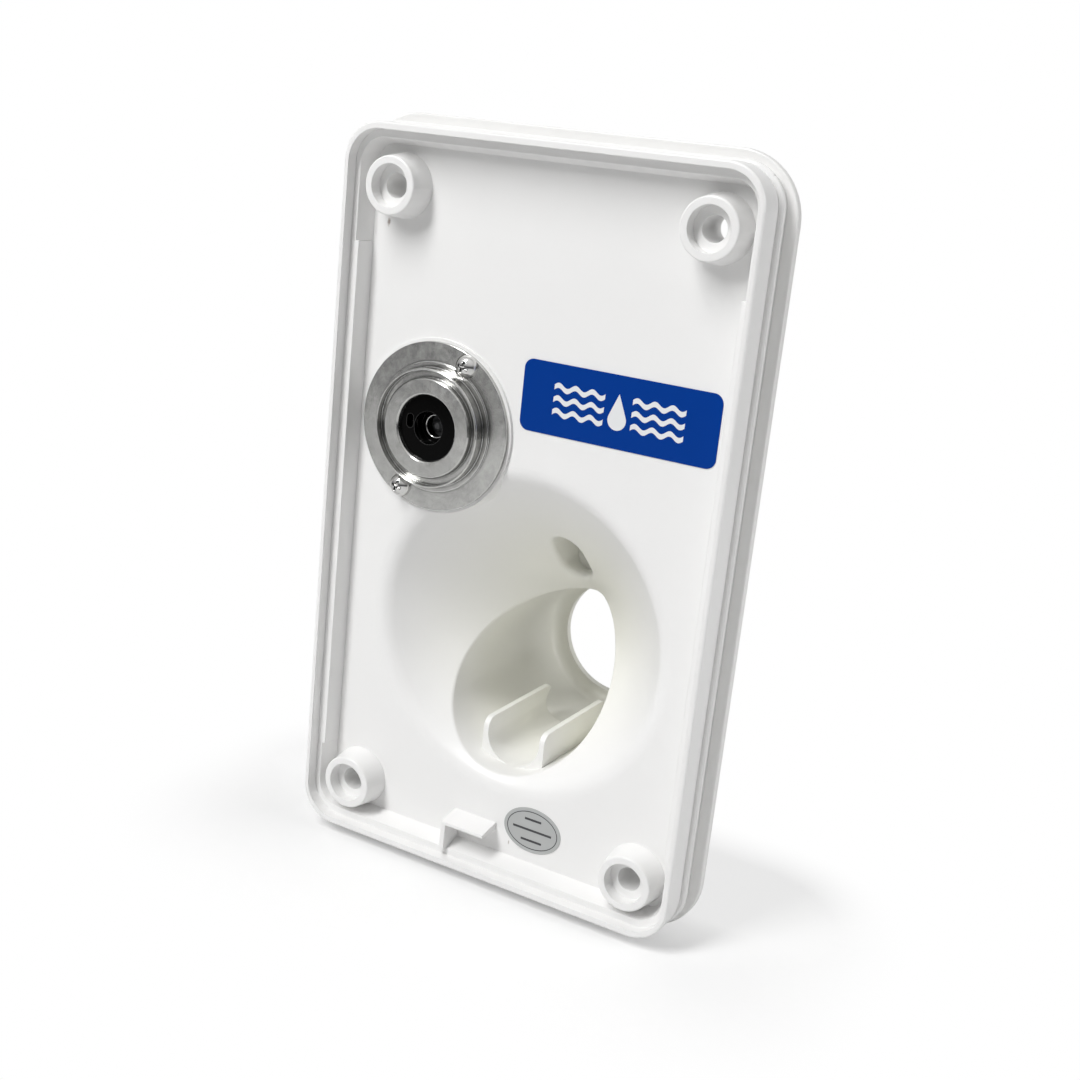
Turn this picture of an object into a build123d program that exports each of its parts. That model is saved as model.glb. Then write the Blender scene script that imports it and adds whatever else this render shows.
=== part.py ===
from build123d import *
from math import atan, cos, degrees, hypot, radians, sin, tan
import os

# Water tank fill socket for a caravan wall, in millimetres.
# X runs to the right, Y into the wall and Z up. The wall face is the plane y = 0, and the origin
# is the middle of the four wall screws. The front of the rim stands out of the wall towards -Y.

# Plate: rim, side wall with its grooves, and flange
stand_out = 15.1
rim_width = 108.7
rim_height = 183.3
rim_corner = 9.7
rim_rise = 1.1
rim_side = 1.3
rim_end = 1.8
rim_round = 0.55
ledge_depth = 3.1
ledge_side = 1.5
ledge_end = 1.8
floor_depth = 8.33
well_draft = 1.35
floor_wall = 2.2
first_groove_at = 6.5
first_groove_end = 9.3
first_groove_cut = 0.65
ridge_end = 11.2
ridge_out = 0.5
ridge_bevel = 0.5
second_groove_cut = 0.15
flange_front = 13.0
flange_overhang = 2.75
flange_corner = 15.3
flange_round = 0.4

# Wall screw bosses
screw_pitch_x = 83.4
screw_pitch_z = 156.2
boss_front = 1.4
boss_radius = 7.0
boss_draft = 0.88
boss_round = 0.45
counterbore_radius = 5.15
counterbore_floor = 4.7
screw_hole_radius = 3.0
rear_boss_wall = 2.0

# Dish and tube
dish_radius = 40.1
dish_x = 1.5
dish_z = -26.9
dish_cone_depth = 45.0
dish_tip_radius = 1.2
dish_edge_round = 6.0
dish_wall = 2.2
tube_x = -0.6
tube_z = -44.8
tube_radius = 20.6
tube_wall = 2.2
tube_end_depth = 75.5
tube_shoulder = 2.0
tube_shoulder_radius = 16.7
tube_floor_round = 3.4
lip_round = 0.9

# Fins on the lower wall of the tube
fin_spread = 16.8
fin_wall = 1.5
fin_top_drop = 9.6
fin_front = 16.6
fin_end = 49.0
fin_front_round = 2.6
fin_tail_round = 5.5
fin_tail_foot = 4.0
cradle_radius = 7.65

# Key slot above the tube
key_width = 8.0
key_height = 12.8
key_middle_x = 0.1
key_above_tube = 6.0
key_floor = 48.5
key_soft_round = 1.6
key_wall = 1.8

# Lid catch at the lower edge, a roof on one leg, and the thick strips of the side walls
catch_left = -11.15
catch_width = 12.55
catch_front = 1.7
catch_rise = 12.75
catch_slope = 1.4
catch_roof_front = 0.8
catch_roof_back = 2.0
catch_wall = 1.3
strip_top = 63.9
strip_thick = 0.9
strip_draft = 0.6
strip_foot = -70.0

# Ribs behind the floor, and how far an added form runs into the wall that carries it
rear_rib_wall = 1.6
rear_rib_inset = 0.6
rear_rib_above_pad = 4.0
weld = 0.5

# Socket on its pad
socket_side_gap = 1.25
socket_z = 21.3
pad_radius = 21.9
pad_front = 7.6
body_flange_radius = 21.1
body_flange_front = 6.6
body_step_radius = 16.2
body_step_front = 6.0
barrel_radius = 14.85
barrel_front = 3.0
barrel_round = 0.2
face_radius = 12.45
face_bevel = 0.3
face_set_back = 0.2
face_groove = 1.95
face_groove_floor = 4.9
bore_radius = 8.35
bore_lip = 0.3
spigot_radius = 11.0
spigot_hole_gap = 0.3
body_screw_radius = 18.4
body_screw_angle = 63.5
body_screw_hole = 1.75
screw_seat_gap = 0.2

# Black insert in the bore, with the water way and the valve chamber
insert_gap = 0.05
insert_face = 4.4
insert_shoulder = 14.0
insert_rear_radius = 9.0
nozzle_radius = 4.1
nozzle_depth = 7.9
throat_radius = 2.8
chamber_front = 10.4
chamber_radius = 6.4
side_recess_x = -5.45
side_recess_z = 0.9
side_recess_width = 1.9
side_recess_height = 3.5
side_recess_depth = 2.5

# Non-return valve
valve_travel = 3.5
head_radius = 5.0
head_thick = 2.0
head_gap = 0.35
nose_radius = 1.3
nose_front = 8.3
nose_bevel = 0.6
stem_radius = 1.5
stem_gap = 0.05
stem_end_gap = 2.0
seal_radius = 3.7
seal_section = 0.6
spring_radius = 3.0
spring_wire = 0.35
spring_turns = 4
guide_front = 22.0
guide_thick = 2.2
guide_hole_radius = 1.4
guide_hole_circle = 3.9
guide_hole_count = 4
guide_gap = 0.03
ring_wall = 1.2
ring_thick = 1.3

# Hose tail, washer and union nut
washer_thick = 1.2
washer_gap = 0.5
tail_flange_thick = 2.4
tail_flange_radius = 10.4
tail_bore_radius = 3.9
tail_neck_radius = 5.2
tail_barb_radius = 6.2
tail_barb_count = 3
tail_barb_pitch = 5.4
tail_barb_land = 0.6
tail_end_bevel = 0.3
tail_neck = 7.0
nut_across_flats = 27.0
nut_cover = 7.5
nut_lip = 2.2
nut_neck_gap = 0.4
nut_corner_bevel = 1.1
nut_thread_gap = 0.05

# Socket screws and their rear bosses
head_disc_radius = 3.0
head_dome = 2.4
shank_radius = 1.4
shank_length = 11.0
shank_hole_gap = 0.05
pilot_boss_radius = 3.4
pilot_boss_end = 19.5
cross_length = 3.0
cross_width = 0.75
cross_depth = 1.1
cross_turn = 20

# Gasket under the socket flange, and gasket in the back of the flange
gasket_radius = 14.6
gasket_width = 3.0
gasket_groove = 1.2
wall_gasket_width = 3.2
wall_gasket_thick = 1.6
wall_gasket_inset = 1.0

# Labels
label_thick = 0.15
label_from_socket = 23.4
label_side_gap = 2.25
label_z = 33.85
label_height = 17.3
label_corner = 2.4
oval_x = 12.05
oval_rise = 13.9
oval_width = 16.5
oval_height = 12.1


def y_at(depth):
    """Place along Y of a depth behind the front of the rim."""
    return depth - stand_out


def prism(sketch, start, end, x=0, z=0, flare=0.0):
    """A sketch as seen from the front, from one depth to a deeper one, widening forward by an angle."""
    plane = Plane(origin=(x, y_at(end), z), x_dir=(1, 0, 0), z_dir=(0, -1, 0))
    return extrude(plane * sketch, amount=end - start, taper=-flare)


def disc(radius, start, end, x=0, z=0):
    return prism(Circle(radius), start, end, x, z)


def turned(points, x=0, z=0):
    """A closed profile of radius and depth points, turned about the depth axis at x, z."""
    outline = Polyline([(radius, y_at(depth)) for radius, depth in points], close=True)
    return Pos(x, 0, z) * revolve(make_face(outline), Axis.Y)


def plate_outline(side_in=0.0, end_in=0.0, corner=rim_corner):
    """Outline of the rim, drawn in by a side and an end amount."""
    return RectangleRounded(rim_width - 2 * side_in, rim_height - 2 * end_in, corner)


def wall_screw_places():
    return [
        (side * screw_pitch_x / 2, end * screw_pitch_z / 2)
        for side in (-1, 1)
        for end in (-1, 1)
    ]


def socket_screw_places():
    across = body_screw_radius * cos(radians(body_screw_angle))
    up = body_screw_radius * sin(radians(body_screw_angle))
    return [(socket_x + across, socket_z + up), (socket_x - across, socket_z - up)]


lower_edge_z = rim_rise - rim_height / 2
catch_top = lower_edge_z + catch_rise
oval_z = lower_edge_z + oval_rise
inner_side = rim_side + ledge_side
inner_end = rim_end + ledge_end
inner_corner = rim_corner - (inner_side + inner_end) / 2
inner_wall = rim_width / 2 - inner_side
strip_face = inner_wall - strip_thick - strip_draft
socket_x = socket_side_gap + pad_radius - strip_face
label_left = socket_x + label_from_socket
label_right = strip_face - label_side_gap
key_middle_z = tube_z + tube_radius + key_above_tube + key_height / 2
floor_back = floor_depth + floor_wall
slope = atan(dish_cone_depth / dish_radius)
head_front = chamber_front + head_gap
head_back = head_front + head_thick
guide_back = guide_front + guide_thick
stem_end = guide_back + ring_thick
spigot_end = stem_end + valve_travel + stem_end_gap
tail_start = spigot_end + washer_thick
tail_neck_start = tail_start + tail_flange_thick


def side_wall():
    """Rim, grooves, ridge and flange, still solid inside."""
    rim = prism(plate_outline(), 0, first_groove_at, z=rim_rise)
    rim = fillet(rim.faces().sort_by(Axis.Y)[0].edges(), rim_round)
    cut = first_groove_cut
    groove = prism(plate_outline(cut, cut, rim_corner - cut), first_groove_at, first_groove_end, z=rim_rise)
    ridge_outline = plate_outline(-ridge_out, -ridge_out, rim_corner + ridge_out)
    ridge = prism(ridge_outline, first_groove_end, ridge_end, z=rim_rise)
    ridge = chamfer(ridge.edges().filter_by(Plane.XZ), ridge_bevel)
    cut = second_groove_cut
    neck = prism(plate_outline(cut, cut, rim_corner - cut), ridge_end, flange_front, z=rim_rise)
    over = flange_overhang
    flange = prism(plate_outline(-over, -over, flange_corner), flange_front, stand_out, z=rim_rise)
    flange = fillet(flange.faces().sort_by(Axis.Y)[0].edges(), flange_round)
    return rim + groove + ridge + neck + flange


def recess():
    """Space inside the rim: the opening, then behind the ledge the well with its drafted walls."""
    mouth_corner = rim_corner - (rim_side + rim_end) / 2
    mouth = prism(plate_outline(rim_side, rim_end, mouth_corner), -1, ledge_depth, z=rim_rise)
    drawn_in = plate_outline(inner_side + well_draft, inner_end + well_draft, inner_corner - well_draft)
    flare = degrees(atan(well_draft / (floor_depth - ledge_depth)))
    well = prism(drawn_in, 0, floor_depth, z=rim_rise, flare=flare)
    return mouth + well


def rear_hollow():
    return prism(plate_outline(inner_side, inner_end, inner_corner), floor_back, stand_out + 1, z=rim_rise)


def dish_cutter():
    """Cone of the dish with a rounded rim and a small flat tip."""
    pull = dish_edge_round * tan(slope / 2)
    tip_depth = floor_depth + dish_cone_depth * (1 - dish_tip_radius / dish_radius)
    rim_point = (dish_radius + pull, y_at(floor_depth))
    wall_point = (dish_radius - pull * cos(slope), y_at(floor_depth) + pull * sin(slope))
    tip_point = (dish_tip_radius, y_at(tip_depth))
    middle_turn = slope / 2
    arc_middle = (
        rim_point[0] - dish_edge_round * sin(middle_turn),
        rim_point[1] + dish_edge_round * (1 - cos(middle_turn)),
    )
    edge = Line((0, y_at(floor_depth)), rim_point)
    edge += ThreePointArc(rim_point, arc_middle, wall_point)
    edge += Line(wall_point, tip_point)
    edge += Line(tip_point, (0, y_at(tip_depth)))
    edge += Line((0, y_at(tip_depth)), (0, y_at(floor_depth)))
    return Pos(dish_x, 0, dish_z) * revolve(make_face(edge), Axis.Y)


def dish_shell():
    """Outside of the dish, one wall thickness from the cone."""
    grow = dish_wall / sin(slope)
    tip_depth = floor_depth + dish_cone_depth * (1 - dish_tip_radius / dish_radius) + dish_wall
    tip_radius = dish_radius + grow - (tip_depth - floor_depth) / tan(slope)
    return turned(
        [(0, floor_depth), (dish_radius + grow, floor_depth), (tip_radius, tip_depth), (0, tip_depth)],
        dish_x,
        dish_z,
    )


def key_outline(grow=0.0):
    return Rot(0, 0, 90) * SlotOverall(key_height + 2 * grow, key_width + 2 * grow)


def lip_edges(body):
    """Edges where the dish meets the inner wall of the tube."""
    shoulder_y = y_at(tube_end_depth - tube_shoulder)
    found = []
    for edge in body.edges():
        points = [edge @ share for share in (0, 0.3, 0.5, 0.7, 1)]
        off = [abs(hypot(p.X - tube_x, p.Z - tube_z) - tube_radius) for p in points]
        if max(off) < 0.02 and edge.center().Y < shoulder_y - 1 and edge.geom_type != GeomType.LINE:
            found.append(edge)
    return found


def key_soft_edges(body):
    """Edges where the left side and the foot of the key slot leave the dish."""
    half = key_width / 2
    straight = key_height / 2 - half
    found = []
    for edge in body.edges():
        points = [edge @ share for share in (0, 0.3, 0.5, 0.7, 1)]
        beyond = [max(abs(p.Z - key_middle_z) - straight, 0) for p in points]
        off = [abs(hypot(p.X - key_middle_x, rise) - half) for p, rise in zip(points, beyond)]
        on_outline = max(off) < 0.02
        in_front = max(p.Y for p in points) < y_at(key_floor) - 0.5
        left_or_foot = points[2].X < key_middle_x + 1 and points[2].Z < key_middle_z + 1
        if on_outline and in_front and left_or_foot:
            found.append(edge)
    return found


def dish_and_tube(body):
    """Adds the dish and tube to the plate and opens them."""
    outer_tube = disc(tube_radius + tube_wall, floor_depth, tube_end_depth, tube_x, tube_z)
    key_boss = prism(
        key_outline(key_wall), floor_depth, key_floor + key_wall, key_middle_x, key_middle_z
    )
    body += dish_shell() + outer_tube + key_boss
    body -= dish_cutter()
    shoulder_depth = tube_end_depth - tube_shoulder
    well = disc(tube_radius, floor_depth, shoulder_depth, tube_x, tube_z)
    body -= fillet(well.edges().sort_by(Axis.Y)[-1], tube_floor_round)
    body -= disc(tube_shoulder_radius, shoulder_depth - 1, tube_end_depth + 1, tube_x, tube_z)
    body = fillet(lip_edges(body), lip_round)
    body -= prism(key_outline(), floor_depth, key_floor, key_middle_x, key_middle_z)
    return fillet(key_soft_edges(body), key_soft_round)


def cradle():
    """Round-bottomed trough along the lower wall of the tube, whose sides stand up as two fins."""
    top = tube_z - fin_top_drop
    foot = tube_z - tube_radius - tube_wall / 2
    front, back = y_at(fin_front), y_at(fin_end)
    tail = back + fin_tail_foot
    scoop_z = top - fin_tail_round
    side = Polyline((front, foot), (tail, foot), (tail, scoop_z), (back, top), (front, top), close=True)
    outer_width = fin_spread + fin_wall
    block = extrude(make_face(Plane.YZ * side), amount=outer_width / 2, both=True)
    nose = block.edges().filter_by(Axis.X).sort_by(Axis.Z)[-2:].sort_by(Axis.Y)[0]
    block = fillet(nose, fin_front_round)
    scoop = Pos(0, tail, scoop_z) * Rot(0, 90, 0) * Cylinder(fin_tail_round, outer_width * 2)
    block -= scoop
    block = Pos(tube_x, 0, 0) * block
    trough_z = tube_z - tube_radius + cradle_radius
    block -= disc(cradle_radius, fin_front - 1, fin_end + fin_tail_foot + 1, tube_x, trough_z)
    above = Rectangle(2 * cradle_radius, 2 * tube_radius)
    block -= prism(above, fin_front - 1, fin_end + fin_tail_foot + 1, tube_x, trough_z + tube_radius)
    return block & disc(tube_radius + tube_wall / 2, fin_front, fin_end + fin_tail_foot, tube_x, tube_z)


def wall_screw_boss():
    """Counterbored boss with its rear extension down to the wall."""
    front = turned(
        [
            (0, boss_front),
            (boss_radius, boss_front),
            (boss_radius + boss_draft, floor_depth),
            (boss_radius + boss_draft, floor_back),
            (0, floor_back),
        ]
    )
    front = fillet(front.edges().sort_by(Axis.Y)[0], boss_round)
    return front + disc(counterbore_radius + rear_boss_wall, floor_depth, stand_out)


def wall_screw_holes():
    holes = Part()
    for x, z in wall_screw_places():
        holes += disc(screw_hole_radius, 0, stand_out + 1, x, z)
        holes += disc(counterbore_radius, 0, counterbore_floor, x, z)
    return holes


def lid_catch():
    """Bracket on the lower wall: a leg on the left that carries a roof, open to the front and right."""
    bottom = lower_edge_z + inner_end - weld
    front, back = y_at(catch_front), y_at(floor_depth + weld)
    front_top = catch_top - catch_slope
    roof = Polyline(
        (front, front_top),
        (back, catch_top),
        (back, catch_top - catch_roof_back),
        (front, front_top - catch_roof_front),
        close=True,
    )
    leg = Polyline((front, bottom), (back, bottom), (back, catch_top), (front, front_top), close=True)
    catch = extrude(make_face(Plane.YZ * roof), amount=catch_width, dir=(1, 0, 0))
    catch += extrude(make_face(Plane.YZ * leg), amount=catch_wall, dir=(1, 0, 0))
    return Pos(catch_left, 0, 0) * catch


def side_strips():
    """Fillings that make the two side walls steeper, above the lower bosses."""
    front, back = y_at(ledge_depth), y_at(floor_depth + weld)
    section = Polyline(
        (inner_wall - strip_thick, front),
        (strip_face, back),
        (inner_wall + weld, back),
        (inner_wall + weld, front),
        close=True,
    )
    strip = Pos(0, 0, strip_foot) * extrude(make_face(section), amount=strip_top - strip_foot)
    return strip + mirror(strip, about=Plane.YZ)


def rear_ribs():
    """Stiffening ribs between the floor and the wall plane, clear of the wall."""
    end = stand_out - rear_rib_inset
    start = floor_back - weld
    upright = Rectangle(rear_rib_wall, rim_height - 2 * inner_end + 2 * weld)
    level = Rectangle(rim_width - 2 * inner_side + 2 * weld, rear_rib_wall)
    ribs = Part()
    for x in (-screw_pitch_x / 2, screw_pitch_x / 2):
        ribs += prism(upright, start, end, x, rim_rise)
    for z in (-screw_pitch_z / 2, screw_pitch_z / 2, socket_z + pad_radius + rear_rib_above_pad):
        ribs += prism(level, start, end, 0, z)
    return ribs


def wall_gasket_outline(grow=0.0):
    """Band that runs round inside the edge of the flange."""
    over = flange_overhang - wall_gasket_inset
    outer = plate_outline(-over - grow, -over - grow, flange_corner - wall_gasket_inset + grow)
    in_by = wall_gasket_width - over
    inner = plate_outline(in_by - grow, in_by - grow, rim_corner)
    return outer - inner


def gasket_band(depth_from, depth_to, grow=0.0):
    half = gasket_width / 2 + grow
    outer = disc(gasket_radius + half, depth_from, depth_to, socket_x, socket_z)
    return outer - disc(gasket_radius - half, depth_from - 1, depth_to + 1, socket_x, socket_z)


def housing():
    """The white moulding."""
    body = side_wall() - recess() - rear_hollow()
    body = dish_and_tube(body)
    body += disc(pad_radius, pad_front, floor_back, socket_x, socket_z)
    skirt_end = floor_depth + (pad_radius + dish_radius - pad_gap()) * tan(slope) + dish_wall
    skirt = disc(pad_radius, floor_depth, skirt_end, socket_x, socket_z) & dish_shell()
    body += skirt
    for x, z in wall_screw_places():
        body += Pos(x, 0, z) * wall_screw_boss()
    ribs = rear_ribs() - dish_shell()
    ribs -= disc(tube_radius, floor_depth, tube_end_depth, tube_x, tube_z)
    body += ribs
    for x, z in socket_screw_places():
        body += disc(pilot_boss_radius, floor_depth, pilot_boss_end, x, z)
    body += side_strips()
    body += cradle()
    body += lid_catch()
    body -= wall_screw_holes()
    body -= disc(spigot_radius + spigot_hole_gap, 0, stand_out + 1, socket_x, socket_z)
    for x, z in socket_screw_places():
        body -= disc(shank_radius + shank_hole_gap, 0, body_flange_front + shank_length + 1, x, z)
    body -= gasket_band(pad_front, pad_front + gasket_groove)
    body -= prism(wall_gasket_outline(), stand_out - wall_gasket_thick, stand_out + 1, z=rim_rise)
    return body


def pad_gap():
    """Distance from the socket axis to the dish axis."""
    return hypot(socket_x - dish_x, socket_z - dish_z)


def socket_body():
    """Turned flange, step and barrel, with the spigot through the floor."""
    groove_outer = face_radius + face_groove
    face_front = barrel_front + face_set_back
    body = turned(
        [
            (bore_radius + bore_lip, face_front),
            (face_radius - face_bevel, face_front),
            (face_radius, face_front + face_bevel),
            (face_radius, face_groove_floor),
            (groove_outer, face_groove_floor),
            (groove_outer, barrel_front),
            (barrel_radius - barrel_round, barrel_front),
            (barrel_radius, barrel_front + barrel_round),
            (barrel_radius, body_step_front),
            (body_step_radius, body_step_front),
            (body_step_radius, body_flange_front),
            (body_flange_radius, body_flange_front),
            (body_flange_radius, pad_front),
            (spigot_radius, pad_front),
            (spigot_radius, spigot_end),
            (insert_rear_radius + insert_gap, spigot_end),
            (insert_rear_radius + insert_gap, insert_shoulder),
            (bore_radius, insert_shoulder),
            (bore_radius, face_front + bore_lip),
        ],
        socket_x,
        socket_z,
    )
    for x, z in socket_screw_places():
        body -= disc(body_screw_hole, body_flange_front - 1, pad_front + 1, x, z)
        body -= disc(head_disc_radius + screw_seat_gap, barrel_front - 1, body_flange_front, x, z)
    return body


def socket_insert():
    """Black piece in the bore, with the stepped water way and the valve chamber behind it."""
    front_radius = bore_radius - insert_gap
    piece = turned(
        [
            (nozzle_radius, insert_face),
            (front_radius, insert_face),
            (front_radius, insert_shoulder),
            (insert_rear_radius, insert_shoulder),
            (insert_rear_radius, spigot_end),
            (chamber_radius, spigot_end),
            (chamber_radius, chamber_front),
            (throat_radius, chamber_front),
            (throat_radius, nozzle_depth),
            (nozzle_radius, nozzle_depth),
        ],
        socket_x,
        socket_z,
    )
    recess_outline = Rot(0, 0, 90) * SlotOverall(side_recess_height, side_recess_width)
    return piece - prism(
        recess_outline,
        insert_face - 1,
        insert_face + side_recess_depth,
        socket_x + side_recess_x,
        socket_z + side_recess_z,
    )


def valve_poppet():
    """Head with a groove for its ring, a nose in the throat and a stem behind."""
    return turned(
        [
            (0, nose_front),
            (nose_radius - nose_bevel, nose_front),
            (nose_radius, nose_front + nose_bevel),
            (nose_radius, head_front),
            (seal_radius - seal_section, head_front),
            (seal_radius - seal_section, head_front + seal_section),
            (seal_radius + seal_section, head_front + seal_section),
            (seal_radius + seal_section, head_front),
            (head_radius, head_front),
            (head_radius, head_back),
            (stem_radius, head_back),
            (stem_radius, stem_end),
            (0, stem_end),
        ],
        socket_x,
        socket_z,
    )


def poppet_seal():
    """Square-section ring in the head's groove that closes on the throat's edge."""
    back = head_front + seal_section
    outer = disc(seal_radius + seal_section, chamber_front, back, socket_x, socket_z)
    return outer - disc(seal_radius - seal_section, chamber_front - 1, back + 1, socket_x, socket_z)


def valve_spring():
    """Coil between the poppet's head and the guide plate."""
    length = guide_front - head_back - 2 * spring_wire
    path = Helix(pitch=length / spring_turns, height=length, radius=spring_radius)
    profile = Plane(origin=path @ 0, z_dir=path % 0) * RegularPolygon(spring_wire, 6)
    coil = sweep(profile, path=path, is_frenet=True)
    return Pos(socket_x, y_at(head_back + spring_wire), socket_z) * Rot(-90, 0, 0) * coil


def spring_guide():
    """Plate that guides the stem, with water holes round it."""
    plate = disc(chamber_radius - guide_gap, guide_front, guide_back, socket_x, socket_z)
    plate -= disc(stem_radius + stem_gap, guide_front - 1, guide_back + 1, socket_x, socket_z)
    for turn in range(guide_hole_count):
        angle = radians(360 * turn / guide_hole_count)
        x = socket_x + guide_hole_circle * cos(angle)
        z = socket_z + guide_hole_circle * sin(angle)
        plate -= disc(guide_hole_radius, guide_front - 1, guide_back + 1, x, z)
    return plate


def guide_ring():
    """Ring behind the guide plate, pressed into the chamber."""
    outer = disc(chamber_radius - guide_gap, guide_back, stem_end, socket_x, socket_z)
    return outer - disc(chamber_radius - ring_wall, guide_back - 1, stem_end + 1, socket_x, socket_z)


def tail_washer():
    outer = disc(spigot_radius - washer_gap, spigot_end, tail_start, socket_x, socket_z)
    return outer - disc(chamber_radius, spigot_end - 1, tail_start + 1, socket_x, socket_z)


def hose_tail():
    """Tail with a clamping flange and barbs for the hose."""
    barb_start = tail_neck_start + tail_neck
    points = [(tail_bore_radius, tail_start), (tail_flange_radius, tail_start)]
    points += [(tail_flange_radius, tail_neck_start), (tail_neck_radius, tail_neck_start)]
    for index in range(tail_barb_count):
        start = barb_start + index * tail_barb_pitch
        points += [(tail_neck_radius, start), (tail_barb_radius, start)]
        points += [(tail_barb_radius, start + tail_barb_land)]
    end = barb_start + tail_barb_count * tail_barb_pitch
    points += [(tail_neck_radius - tail_end_bevel, end), (tail_bore_radius, end)]
    return turned(points, socket_x, socket_z)


def union_nut():
    """Six-sided nut that draws the tail onto the spigot."""
    end = tail_neck_start + nut_lip
    start = spigot_end - nut_cover
    flat_radius = nut_across_flats / 2
    corner_radius = flat_radius / cos(radians(30))
    nut = prism(RegularPolygon(flat_radius, 6, major_radius=False), start, end, socket_x, socket_z)
    nut &= turned(
        [
            (0, start),
            (flat_radius, start),
            (corner_radius, start + nut_corner_bevel),
            (corner_radius, end - nut_corner_bevel),
            (flat_radius, end),
            (0, end),
        ],
        socket_x,
        socket_z,
    )
    nut -= disc(spigot_radius + nut_thread_gap, start - 1, end - nut_lip, socket_x, socket_z)
    return nut - disc(tail_neck_radius + nut_neck_gap, start, end + 1, socket_x, socket_z)


def socket_screw(x, z):
    """Domed screw with a cross recess, its head on the metal flange."""
    dome_radius = (head_disc_radius ** 2 + head_dome ** 2) / (2 * head_dome)
    front = body_flange_front - head_dome
    dome = Pos(0, y_at(front) + dome_radius, 0) * Sphere(dome_radius)
    head = disc(head_disc_radius, front, body_flange_front) & dome
    cross = prism(
        Rectangle(cross_length, cross_width) + Rectangle(cross_width, cross_length),
        front - 1,
        front + cross_depth,
    )
    screw = head - Rot(0, cross_turn, 0) * cross
    screw += disc(shank_radius, body_flange_front - weld, body_flange_front + shank_length)
    return Pos(x, 0, z) * screw


def socket_gasket():
    return gasket_band(pad_front, pad_front + gasket_groove)


def wall_gasket():
    return prism(wall_gasket_outline(), stand_out - wall_gasket_thick, stand_out, z=rim_rise)


def water_label():
    outline = RectangleRounded(label_right - label_left, label_height, label_corner)
    label_x = (label_left + label_right) / 2
    return prism(outline, floor_depth - label_thick, floor_depth, label_x, label_z)


def oval_label():
    outline = Ellipse(oval_width / 2, oval_height / 2)
    return prism(outline, floor_depth - label_thick, floor_depth, oval_x, oval_z)


upper_screw, lower_screw = socket_screw_places()
pieces = {
    "housing": housing(),
    "wall_gasket": wall_gasket(),
    "socket_body": socket_body(),
    "socket_insert": socket_insert(),
    "socket_gasket": socket_gasket(),
    "socket_screw_upper": socket_screw(*upper_screw),
    "socket_screw_lower": socket_screw(*lower_screw),
    "valve_poppet": valve_poppet(),
    "poppet_seal": poppet_seal(),
    "valve_spring": valve_spring(),
    "spring_guide": spring_guide(),
    "guide_ring": guide_ring(),
    "tail_washer": tail_washer(),
    "hose_tail": hose_tail(),
    "union_nut": union_nut(),
    "water_label": water_label(),
    "oval_label": oval_label(),
}

os.makedirs("parts", exist_ok=True)
for name, piece in pieces.items():
    export_step(piece, f"parts/{name}.step")
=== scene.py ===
import math

import bmesh
import bpy
from mathutils import Matrix, Vector


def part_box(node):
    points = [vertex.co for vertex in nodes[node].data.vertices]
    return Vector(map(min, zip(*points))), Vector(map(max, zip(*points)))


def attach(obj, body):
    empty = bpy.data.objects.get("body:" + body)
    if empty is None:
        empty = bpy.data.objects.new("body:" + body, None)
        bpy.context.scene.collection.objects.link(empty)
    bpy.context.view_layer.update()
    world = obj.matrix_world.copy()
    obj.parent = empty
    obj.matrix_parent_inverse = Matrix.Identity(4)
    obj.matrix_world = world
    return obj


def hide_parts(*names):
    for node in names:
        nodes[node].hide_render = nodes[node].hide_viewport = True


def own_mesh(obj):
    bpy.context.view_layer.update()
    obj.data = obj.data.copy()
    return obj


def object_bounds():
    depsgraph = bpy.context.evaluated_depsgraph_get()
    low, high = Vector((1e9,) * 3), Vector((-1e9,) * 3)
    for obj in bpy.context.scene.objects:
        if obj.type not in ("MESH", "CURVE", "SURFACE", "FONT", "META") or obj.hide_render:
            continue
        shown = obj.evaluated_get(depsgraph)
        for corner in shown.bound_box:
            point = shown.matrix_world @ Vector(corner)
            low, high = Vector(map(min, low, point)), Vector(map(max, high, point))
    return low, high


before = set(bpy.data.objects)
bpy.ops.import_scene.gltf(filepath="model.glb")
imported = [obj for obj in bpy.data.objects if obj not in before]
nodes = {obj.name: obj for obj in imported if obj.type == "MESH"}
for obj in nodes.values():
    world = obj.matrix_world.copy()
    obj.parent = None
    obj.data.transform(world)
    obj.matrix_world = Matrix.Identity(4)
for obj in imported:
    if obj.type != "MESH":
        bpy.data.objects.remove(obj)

cad_low, cad_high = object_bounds()


# The viewpoint and the studio. The housing stands upright on its lower edge on a pale floor, and is
# seen from its right and a little above, with the camera turned by a few degrees.
camera_place = Vector((0.16777, -0.31021, 0.09631))
camera_look = Vector((-0.45407, 0.84854, -0.27167))
camera_up = Vector((-0.22075, 0.18827, 0.95699))
camera = bpy.data.objects.new("camera", bpy.data.cameras.new("camera"))
camera.data.lens = 49.12
camera.data.sensor_width = 36.0
camera.data.clip_start = 0.01
right = camera_look.cross(camera_up).normalized()
upward = right.cross(camera_look).normalized()
camera_turn = Matrix((right, upward, -camera_look)).transposed().to_4x4()
camera.matrix_world = Matrix.Translation(camera_place) @ camera_turn
bpy.context.scene.collection.objects.link(camera)
bpy.context.scene.camera = camera
bpy.context.scene.view_settings.view_transform = "Standard"


def add_node(tree, kind, **settings):
    """A shader node with its properties and unlinked inputs set by name."""
    made = tree.nodes.new(kind)
    inputs = settings.pop("inputs", {})
    for key, value in settings.items():
        setattr(made, key, value)
    for key, value in inputs.items():
        made.inputs[key].default_value = value
    return made


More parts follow.
